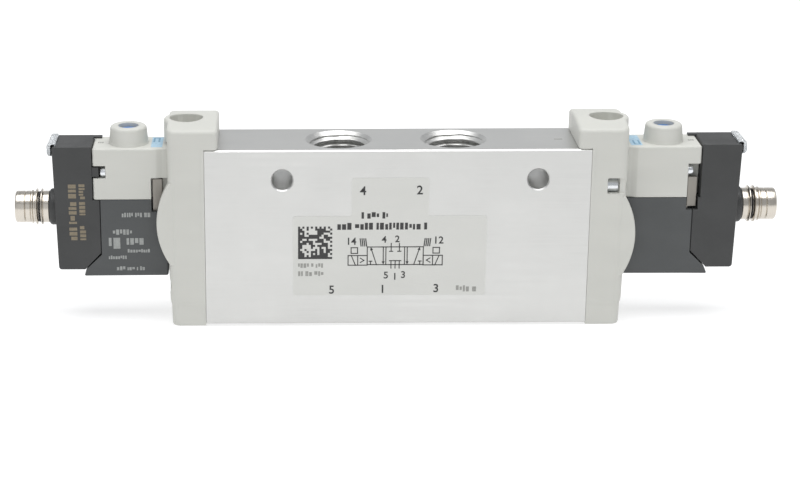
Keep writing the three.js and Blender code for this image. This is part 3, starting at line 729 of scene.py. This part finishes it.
def housing_prints():
    """The blue override tag and a small grey mark on the housing's top."""
    top = housing_high.z
    tag = prism("override_tag", rect(TAG_X, TAG_Y), "z", top, top + PRINT)
    at_both_ends(tag, SKY_INK, "label_film")
    x, y, line = TAG_MARK_X, TAG_MARK_Y, TAG_LINE
    frame_lines = [
        rect(x, (y[0], y[0] + line)), rect((x[0], x[0] + line), (y[0] + line, y[1])),
        rect((x[1] - line, x[1]), (y[0] + line, y[1])),
    ]
    mark = prisms("override_tag_mark", frame_lines, "z", top + PRINT, top + 2 * PRINT)
    at_both_ends(mark, SEA_INK, "label_film")
    third = (TYPE_MARK_X[1] - TYPE_MARK_X[0]) / 3
    starts = [TYPE_MARK_X[0] + k * third for k in range(3)]
    bars = [rect((start, start + 0.7 * third), TYPE_MARK_Y) for start in starts]
    at_both_ends(prisms("housing_mark", bars, "z", top, top + PRINT), FAINT_INK, "label_film")


pilot_housing()
override_collar()
override_button()
housing_prints()


# ------------------------------------------------------------ solenoid
CASE_SEAM, CASE_HEEL, CASE_KNEE = 64.3, 15.4, (67.6, 12.2)
LEG_WINDOW_Z = 25.15


def solenoid_case():
    low, high = case_low, case_high
    outline = rounded([
        (low.x, low.z, 0.4), (high.x, low.z, 0.25), (*CASE_KNEE, 0), (CASE_SEAM, CASE_HEEL, 0),
        (CASE_SEAM, high.z - 0.03, 0), (low.x, high.z - 0.03, 0),
    ], 4)
    piece = prism("coil_shell", outline, "y", low.y, high.y)
    round_edges(piece, 0.35, 3, lambda middle, direction: abs(middle.y) > high.y - 0.01
                and middle.z < high.z - 0.1 and middle.x < CASE_SEAM - 0.1)
    cut(piece, cuboid("leg_window_a", (low.x + 0.9, LEG_NOTCH_X), (high.y - LEG_NOTCH_DEPTH, high.y + CUT),
                      (LEG_WINDOW_Z, high.z + CUT)))
    cut(piece, cuboid("leg_window_b", (NOTCH_X, CASE_SEAM + CUT), (low.y - CUT, low.y + LEG_NOTCH_DEPTH),
                      (LEG_WINDOW_Z, high.z + CUT)))
    soften(piece, 0.08, 2, 40)
    shade(piece, 30)
    at_both_ends(piece, MATERIALS["coil_plastic"], "coil_plastic", node="solenoid_case_{end}")


def plug_base(end, turn, hook_side):
    low, high = base_low, base_high
    upper_x, lower_x, shelf, knee_x, heel = 65.9, 64.4, 27.9, 68.05, 15.75
    outer_top, outer_bottom, neck_root = 74.5, 73.8, 4.0
    outline = rounded([
        (knee_x, low.z, 0), (outer_bottom, low.z, 0.7), (outer_top, high.z, 0.5), (upper_x, high.z, 0.4),
        (upper_x, shelf, 0), (lower_x, shelf, 0), (lower_x, heel, 0),
    ], 5)
    piece = prism("base_shell", outline, "y", low.y, high.y)
    round_edges(piece, 0.3, 4, lambda middle, _: abs(middle.y) > high.y - 0.01)
    cut(piece, cuboid("leg_relief", (lower_x - CUT, 65.5), (low.y - CUT, low.y + 2.15), (25.2, shelf + 0.1)))
    stop = base_high.x
    neck = [(0, outer_bottom - 1), (neck_root, outer_bottom - 1), (neck_root, outer_top + 0.3)]
    neck += [(p.x, p.y) for p in arc((neck_root - 0.65, stop - 0.65), 0.65, 0, 75, 6)]
    neck += [(3.35, stop), (0, stop)]
    join(piece, turned("neck", neck, "x", (0, plug_z), 96))
    join(piece, cuboid("latch", (64.5, upper_x + 0.5), (2.4, 4.9), (33.1, 35.2)))
    hook = sorted((hook_side * 3.3, hook_side * 4.9))
    join(piece, cuboid("hook", (64.2, upper_x + 0.6), hook, (housing_high.z + 0.02, high.z - 0.02)))
    cut(piece, rod("neck_bore", "x", sleeve_low.x - 0.4, stop + CUT, 3.22, (0, plug_z)))
    shade(piece, 30)
    at_end(piece, end, turn, MATERIALS["black_plastic"], "black_plastic", "valve", "plug_base_{end}")
    bpy.data.objects.remove(piece)


def light_guide():
    low, high = guide_low, guide_high
    start, inner_x, outer_x, drop = 73.7, 74.6, high.x - 0.25, low.z - 0.5
    outline = rounded([
        (start, base_high.z + 0.02, 0.1), (inner_x, base_high.z + 0.02, 0.1), (inner_x, drop, 0.1),
        (outer_x, drop, 0.8), (outer_x, high.z, 0.9), (start, high.z, 0.25),
    ], 6)
    piece = prism("guide", outline, "y", low.y, high.y)
    round_edges(piece, 0.25, 3, lambda middle, direction: abs(middle.y) > high.y - 0.01)
    shade(piece, 30)
    at_both_ends(piece, MATERIALS["clear_plastic"], "clear_plastic", node="light_guide_{end}")


def yoke():
    """The U-shaped pole frame: a plate below the coil and a leg up each side, one at each corner."""
    plate_top, leg = 12.4, 0.8
    low, high = yoke_low, yoke_high
    leg_a_end, leg_b = 53.0, (62.2, 63.5)
    wide_x, wide_z = 63.2, 25.6
    piece = cuboid("pole_yoke", (low.x, leg_b[1]), (low.y, high.y), (low.z, plate_top))
    join(piece, cuboid("leg_a", (low.x, leg_a_end), (high.y - leg, high.y), (low.z, high.z)))
    leg_b_outline = [
        (leg_b[0], low.z), (leg_b[1], low.z), (leg_b[1], wide_z), (high.x, wide_z), (high.x, high.z),
        (wide_x, high.z), (wide_x, wide_z + 0.2), (leg_b[0], wide_z + 0.2),
    ]
    join(piece, prism("leg_b", leg_b_outline, "y", low.y, low.y + leg))
    soften(piece, 0.14, 3, 40)
    shade(piece, 30)
    at_both_ends(piece, MATERIALS["yoke_steel"], "yoke_steel", node="solenoid_yoke_{end}")


def socket_screw(name, node, head_length, shank):
    """A socket-head screw along x: turned head with rounded rim, hexagon socket and plain shank."""
    low, high = box_mm(f"{node}_right")
    centre = ((low.y + high.y) / 2, (low.z + high.z) / 2)
    radius = (high.z - low.z) / 2
    start, stop = high.x - head_length, high.x
    profile = [(0, low.x), (shank - 0.2, low.x), (shank, low.x + 0.2), (shank, start), (radius - 0.08, start)]
    profile += [(radius, start + 0.08), (radius, stop - 0.3), (radius - 0.1, stop - 0.1), (radius - 0.3, stop)]
    piece = turned(name, [*profile, (0, stop)], "x", centre, 48)
    socket = [(centre[0] + p.x, centre[1] + p.y) for p in arc((0, 0), radius * 0.56, 0, 300, 5)]
    cut(piece, prism("socket", socket, "x", stop - head_length / 2, stop + CUT))
    shade(piece, 35)
    at_both_ends(piece, MATERIALS["zinc_steel"], "zinc_steel", node=f"{node}_{{end}}")


solenoid_case()
for (end_name, half_turn), far_side in zip(ENDS, (1, -1)):
    plug_base(end_name, half_turn, far_side)
light_guide()
yoke()
for level in ("upper", "lower"):
    socket_screw(f"cap_bolt_{level}", f"cap_screw_{level}", 2.5, 1.15)
for side in ("a", "b"):
    socket_screw(f"pilot_bolt_{side}", f"pilot_screw_{side}", 1.2, 0.75)


# ------------------------------------------------------------ plug
CREST_1, RING_X, CREST_2, RUN_OUT, GROOVE = (sleeve_high.x - back for back in (5.8, 5.25, 4.68, 3.72, 2.2))


def crest(x, radius, root, half):
    flank = 0.25 * half
    return [(root, x - half), (radius - 0.08, x - flank - 0.06), (radius, x - flank), (radius, x + flank),
            (radius - 0.08, x + flank + 0.06), (root, x + half)]


def plug_sleeve():
    x0, collar_x, tip = sleeve_low.x, base_high.x, sleeve_high.x
    major, body_r, root, inner, seat = 4.0, 3.5, 3.42, 2.8, 3.05
    ring_from, ring_to = RING_X - 0.25, RING_X + 0.25
    profile = [(inner, x0), (3.2, x0), (3.2, collar_x), (body_r - 0.1, collar_x), (body_r, collar_x + 0.1)]
    profile += [(body_r, CREST_1 - 0.5), *crest(CREST_1, major, root, 0.3), (seat, ring_from), (seat, ring_to)]
    profile += [*crest(CREST_2, major, root, 0.32), *crest(RUN_OUT, 3.72, root, 0.34), (body_r, RUN_OUT + 0.42)]
    profile += [(body_r, GROOVE - 0.16), (body_r - 0.16, GROOVE), (body_r, GROOVE + 0.16)]
    profile += [(body_r, tip - 0.35), (body_r - 0.1, tip - 0.12), (body_r - 0.3, tip), (inner + 0.15, tip)]
    profile += [(inner, tip - 0.15)]
    piece = turned("sleeve", profile, "x", (0, plug_z), 128)
    shade(piece, 28)
    at_both_ends(piece, MATERIALS["nickel_brass"], "nickel_brass", node="plug_sleeve_{end}")


def plug_ring():
    wire = 0.17
    profile = [(p.x, p.y) for p in arc((3.22, RING_X), wire, 0, 345, 23)]
    piece = turned("sealing_ring", profile, "x", (0, plug_z), 96)
    shade(piece, 60)
    at_both_ends(piece, MATERIALS["rubber"], "rubber", node="plug_o_ring_{end}")


def contact_insert():
    """The moulded insert with its keyway, and four round-ended gold pins."""
    low, high = box_mm("contact_carrier_right")
    radius = 2.72
    face, pin_r, pin_circle = high.x - 3.8, 0.45, 1.5
    profile = [(0, low.x), (radius, low.x), (radius, face - 0.15), (radius - 0.15, face), (0, face)]
    piece = turned("insert", profile, "x", (0, plug_z), 72)
    cut(piece, rod("keyway", "x", face - 2.5, face + CUT, 0.35, (0, plug_z + radius), 24))
    corners = [(math.cos(math.radians(a)), math.sin(math.radians(a))) for a in (45, 135, 225, 315)]
    places = [(pin_circle * c, plug_z + pin_circle * s) for c, s in corners]
    for centre in places:
        cut(piece, rod("pin_hole", "x", face - 0.3, face + CUT, pin_r + 0.12, centre, 24))
    shade(piece, 30)
    at_both_ends(piece, MATERIALS["black_plastic"], "black_plastic", node="contact_carrier_{end}")
    for number, centre in enumerate(places, 1):
        profile = [(0, face - 0.28), (pin_r, face - 0.28), (pin_r, high.x - 0.4), (pin_r - 0.1, high.x - 0.18)]
        profile += [(pin_r - 0.25, high.x - 0.04), (0, high.x)]
        pin = turned(f"contact_pin_{number}", profile, "x", centre, 32)
        shade(pin, 50)
        at_both_ends(pin, GOLD, "nickel_brass")


plug_sleeve()
plug_ring()
contact_insert()


# ------------------------------------------------------------ label and prints
LABEL_LOW, LABEL_HEAD = (-22.5, 7.15, 19.4, 25.2), (-9.8, 6.8, 33.75)
LABEL_FACE = label_low.y + 0.02
DIGIT_SIZE = 1.42  # text size over the height of its digits


def stroke(start, stop, width=0.21):
    along = (Vector(stop) - Vector(start)).normalized() * (width / 2)
    across = Vector((-along.y, along.x))
    first, last = Vector(start) - along, Vector(stop) + along
    return [first - across, last - across, last + across, first + across]


def arrow(start, stop, head=0.75, spread=0.34):
    along = (Vector(stop) - Vector(start)).normalized()
    across = Vector((-along.y, along.x)) * spread
    neck = Vector(stop) - along * head
    return [stroke(start, neck), [Vector(stop), neck + across, neck - across]]


def frame_strokes(x, z):
    corners = rect(x, z)
    return [stroke(corners[i - 1], corners[i]) for i in range(4)]


def blind_text(x, z, seed, pitch=0.62):
    """A line of plain bars of uneven width and height where small print would stand."""
    draw = random.Random(seed)
    height = z[1] - z[0]
    shapes, at = [], x[0]
    while at < x[1] - 0.3 * pitch * height:
        width = height * draw.uniform(0.28, 0.62)
        low = z[0] + height * draw.choice((0, 0, 0, 0.25))
        high = z[1] - height * draw.choice((0, 0, 0.2))
        shapes.append(rect((at, min(at + width, x[1])), (low, high)))
        at += width + height * draw.choice((0.16, 0.16, 0.2, 0.5))
    return shapes


def block_code(x, z, cells, seed):
    """A square of random blocks inside a solid L and a dotted edge."""
    draw = random.Random(seed)
    pitch = (x[1] - x[0]) / cells
    shapes = []
    for row in range(cells):
        for column in range(cells):
            solid = column == 0 or row == 0
            dotted = (row == cells - 1 and column % 2 == 0) or (column == cells - 1 and row % 2 == 0)
            inside = 0 < row < cells - 1 and 0 < column < cells - 1 and draw.random() < 0.52
            if solid or dotted or inside:
                left, low = x[0] + column * pitch, z[0] + row * pitch
                shapes.append(rect((left, left + pitch), (low, low + pitch)))
    return shapes


def digits(name, marks, face, depth=0.02):
    """Digits on the front face, from (text, x, z, height) marks centred on x and standing on z."""
    work = bmesh.new()
    for text, x, z, height in marks:
        curve = bpy.data.curves.new("digits", "FONT")
        curve.body = text
        curve.size = height * DIGIT_SIZE
        curve.align_x = "CENTER"
        curve.extrude = depth / 2
        curve.offset = 0.022 * height
        item = new_object("digits", curve)
        mesh = bpy.data.meshes.new_from_object(item.evaluated_get(bpy.context.evaluated_depsgraph_get()))
        mesh.transform(Matrix.Translation((x, face - depth / 2, z)) @ Matrix.Rotation(math.pi / 2, 4, "X"))
        work.from_mesh(mesh)
        bpy.data.objects.remove(item)
        bpy.data.curves.remove(curve)
        bpy.data.meshes.remove(mesh)
    mesh = bpy.data.meshes.new(name)
    work.to_mesh(mesh)
    work.free()
    return new_object(name, mesh)


def valve_symbol():
    """The circuit symbol of a spring-centred, closed-centre five-port valve with two pilots."""
    left, right, low, high = -6.4, 5.75, 14.15, 18.2
    cell = (right - left) / 3
    shapes = frame_strokes((left, right), (low, high))
    shapes += [stroke((left + k * cell, low), (left + k * cell, high)) for k in (1, 2)]
    ports = [left + cell * (1.28 + 0.22 * k) for k in range(3)]
    for x in (ports[0], ports[2]):
        shapes += [stroke((x, high), (x, high + 0.8)), stroke((x, high), (x, high - 1)),
                   stroke((x - 0.35, high - 1), (x + 0.35, high - 1))]
    for x in ports:
        shapes += [stroke((x, low), (x, low - 0.8)), stroke((x, low), (x, low + 0.9)),
                   stroke((x - 0.35, low + 0.9), (x + 0.35, low + 0.9))]
    shapes += arrow((left + 0.5 * cell, low), (left + 0.18 * cell, high))
    shapes += arrow((left + 0.86 * cell, high), (left + 0.86 * cell, low))
    shapes += arrow((right - 0.5 * cell, low), (right - 0.18 * cell, high))
    shapes += arrow((right - 0.86 * cell, high), (right - 0.86 * cell, low))
    for x in (left + 0.18 * cell, right - 0.18 * cell):
        shapes += [stroke((x, low), (x, low + 0.8)), stroke((x - 0.3, low + 0.8), (x + 0.3, low + 0.8))]
    for edge, side in ((left, -1), (right, 1)):
        outer, middle = edge + side * 4.15, edge + side * 2.05
        box_z = (low - 0.1, low + 2.1)
        shapes += frame_strokes(sorted((edge, outer)), box_z)
        shapes.append(stroke((middle, box_z[0]), (middle, box_z[1])))
        shapes.append(stroke((middle + side * 0.5, box_z[0]), (outer - side * 0.7, box_z[1])))
        shapes.append(stroke((edge + side * 1.5, low + 0.5), (edge + side * 0.7, low + 1), 0.2))
        shapes.append(stroke((edge + side * 0.7, low + 1), (edge + side * 1.5, low + 1.5), 0.2))
        shapes += frame_strokes(sorted((edge + side * 2.1, edge + side * 3.5)), (low + 2.6, low + 3.9))
        for k in range(4):
            x = edge + side * (0.15 + 0.4 * k)
            shapes.append(stroke((x, high + 0.25), (x + side * 0.2, high + 1.85), 0.25))
    return shapes


def print_on_label(name, shapes, material):
    piece = prisms(name, shapes, "y", LABEL_FACE - 0.02, LABEL_FACE)
    settle(piece, material, "label_film", "valve")


def type_label():
    x0, z0, x1, step = LABEL_LOW
    h0, h1, top = LABEL_HEAD
    outline = rounded([
        (x0, z0, 0.6), (x1, z0, 0.6), (x1, step, 0.6), (h1, step, 0.4), (h1, top, 0.6), (h0, top, 0.6),
        (h0, step, 0.4), (x0, step, 0.6),
    ], 4)
    film = prism("film", outline, "y", LABEL_FACE, body_low.y)
    settle(film, MATERIALS["label_film"], "label_film", "valve", "type_label")
    ports = [
        ("4", -7.4, 30.0, 1.95), ("2", 4.8, 30.1, 1.95), ("5", -14.1, 7.55, 1.85), ("1", -3.0, 7.65, 1.85),
        ("3", 8.65, 7.8, 1.85),
    ]
    settle(digits("port_numerals", ports, LABEL_FACE), DARK_INK, "label_film", "valve")
    small = [
        ("14", -9.9, 18.75, 1.6), ("12", 9.0, 18.95, 1.6), ("4", -2.75, 19.2, 1.5), ("2", 0.1, 19.3, 1.5),
        ("5", -2.3, 11.0, 1.55), ("1", -0.35, 10.7, 1.55), ("3", 1.45, 11.1, 1.55),
    ]
    settle(digits("symbol_numerals", small, LABEL_FACE), DARK_INK, "label_film", "valve")
    print_on_label("valve_symbol", valve_symbol(), DARK_INK)
    print_on_label("block_code", block_code((-21.4, -14), (15.5, 22.9), 16, 7), DARK_INK)
    lines = blind_text((-7.7, -2), (24.65, 26.1), 3) + blind_text((-12.9, 6.6), (22.15, 23.7), 5)
    print_on_label("type_lines", lines, DARK_INK)
    faint = blind_text((-21.4, -16), (13.5, 14.5), 8) + blind_text((-21.4, -15.9), (11.6, 12.7), 9)
    print_on_label("code_lines", faint + blind_text((13, 17.4), (7.9, 9.3), 11), FAINT_INK)


def pilot_prints():
    """Blind print on the coil and the plug base, on each pilot's +y side."""
    face = case_high.y
    coil = [((53.5, 59.7), (24.0, 25.0)), ((57.6, 62), (20.0, 21.2)), ((55.1, 59), (17.7, 19.2)),
            ((60.2, 62.7), (16.8, 19.3)), ((53.8, 58.7), (15.9, 16.7)), ((58.9, 62.8), (14.4, 15.2)),
            ((55, 61.2), (11.8, 12.7))]
    shapes = [shape for seed, (x, z) in enumerate(coil) for shape in blind_text(x, z, 20 + seed)]
    at_both_ends(prisms("coil_print", shapes, "y", face, face + PRINT), PALE_INK, "label_film")
    columns = [((69.5, 71.2), (18.8, 31.6)), ((67.6, 68.9), (24.5, 31.5)), ((67.6, 68.9), (18.8, 22.3))]
    shapes = []
    for seed, (x, z) in enumerate(columns):
        upright = blind_text(z, x, 30 + seed)
        shapes += [[(q, p) for p, q in shape] for shape in upright]
    at_both_ends(prisms("base_print", shapes, "y", face, face + PRINT), GOLD_INK, "label_film")


type_label()
pilot_prints()
body_mark = prisms("body_mark", [rect((34.3, 36.1), (-0.9, -0.3))], "z", body_high.z, body_high.z + PRINT)
settle(body_mark, FAINT_INK, "label_film", "valve")


# ------------------------------------------------------------ camera, light and floor
CAMERA = {"lens": 93.87, "pitch": 18.22, "roll": -0.25, "x": -25.5, "y": -438.0, "z": 160.65, "shift": 0.1511}


FLOOR_Z = -0.02 * MM


def set_camera():
    data = bpy.data.cameras.new("camera")
    data.lens = CAMERA["lens"]
    data.sensor_width = 36
    data.shift_x = CAMERA["shift"]
    data.clip_start = 0.01
    camera = bpy.data.objects.new("camera", data)
    bpy.context.scene.collection.objects.link(camera)
    pitch, roll = math.radians(CAMERA["pitch"]), math.radians(CAMERA["roll"])
    turn = Matrix.Rotation(math.pi / 2 - pitch, 4, "X") @ Matrix.Rotation(roll, 4, "Z")
    place = Vector((CAMERA["x"], CAMERA["y"], CAMERA["z"])) * MM
    camera.matrix_world = Matrix.Translation(place) @ turn
    bpy.context.scene.camera = camera


def area_light(name, place, target, size, energy, color=(1, 1, 1)):
    data = bpy.data.lights.new(name, "AREA")
    data.shape = "RECTANGLE"
    data.size, data.size_y = size
    data.energy = energy
    data.color = color
    light = bpy.data.objects.new(name, data)
    bpy.context.scene.collection.objects.link(light)
    light.location = place
    light.rotation_euler = (Vector(target) - Vector(place)).to_track_quat("-Z", "Y").to_euler()


def set_stage():
    floor = from_faces("floor", [(x, y, FLOOR_Z) for x, y in rect((-3, 3), (-3, 3))], [(0, 1, 2, 3)])
    graph = Graph("pale_floor", 0.75)
    paper = graph.noise(25, detail=2)
    graph.color(graph.blend(graph.spread(paper, 0.3, 0.7, 0, 1), (0.43, 0.43, 0.43), (0.45, 0.45, 0.45)))
    graph.shader.inputs["Emission Color"].default_value = (1, 1, 1, 1)
    graph.shader.inputs["Emission Strength"].default_value = 0.66
    floor.data.materials.append(graph.material)
    world = bpy.data.worlds.new("studio")
    world.use_nodes = True
    world.node_tree.nodes["Background"].inputs["Color"].default_value = (0.95, 0.97, 1, 1)
    world.node_tree.nodes["Background"].inputs["Strength"].default_value = 0.48
    bpy.context.scene.world = world
    bpy.context.scene.view_settings.view_transform = "Standard"
    area_light("overhead_softbox", (0, -0.1, 0.9), (0, 0, 0), (1.2, 0.8), 9)
    area_light("front_softbox", (-0.25, -1.0, 0.35), (0, 0, 0.02), (0.9, 0.6), 0.5)
    area_light("back_softbox", (0, 1.6, 0.5), (0, 0, 0.03), (2.4, 0.9), 1.8)


set_camera()
set_stage()
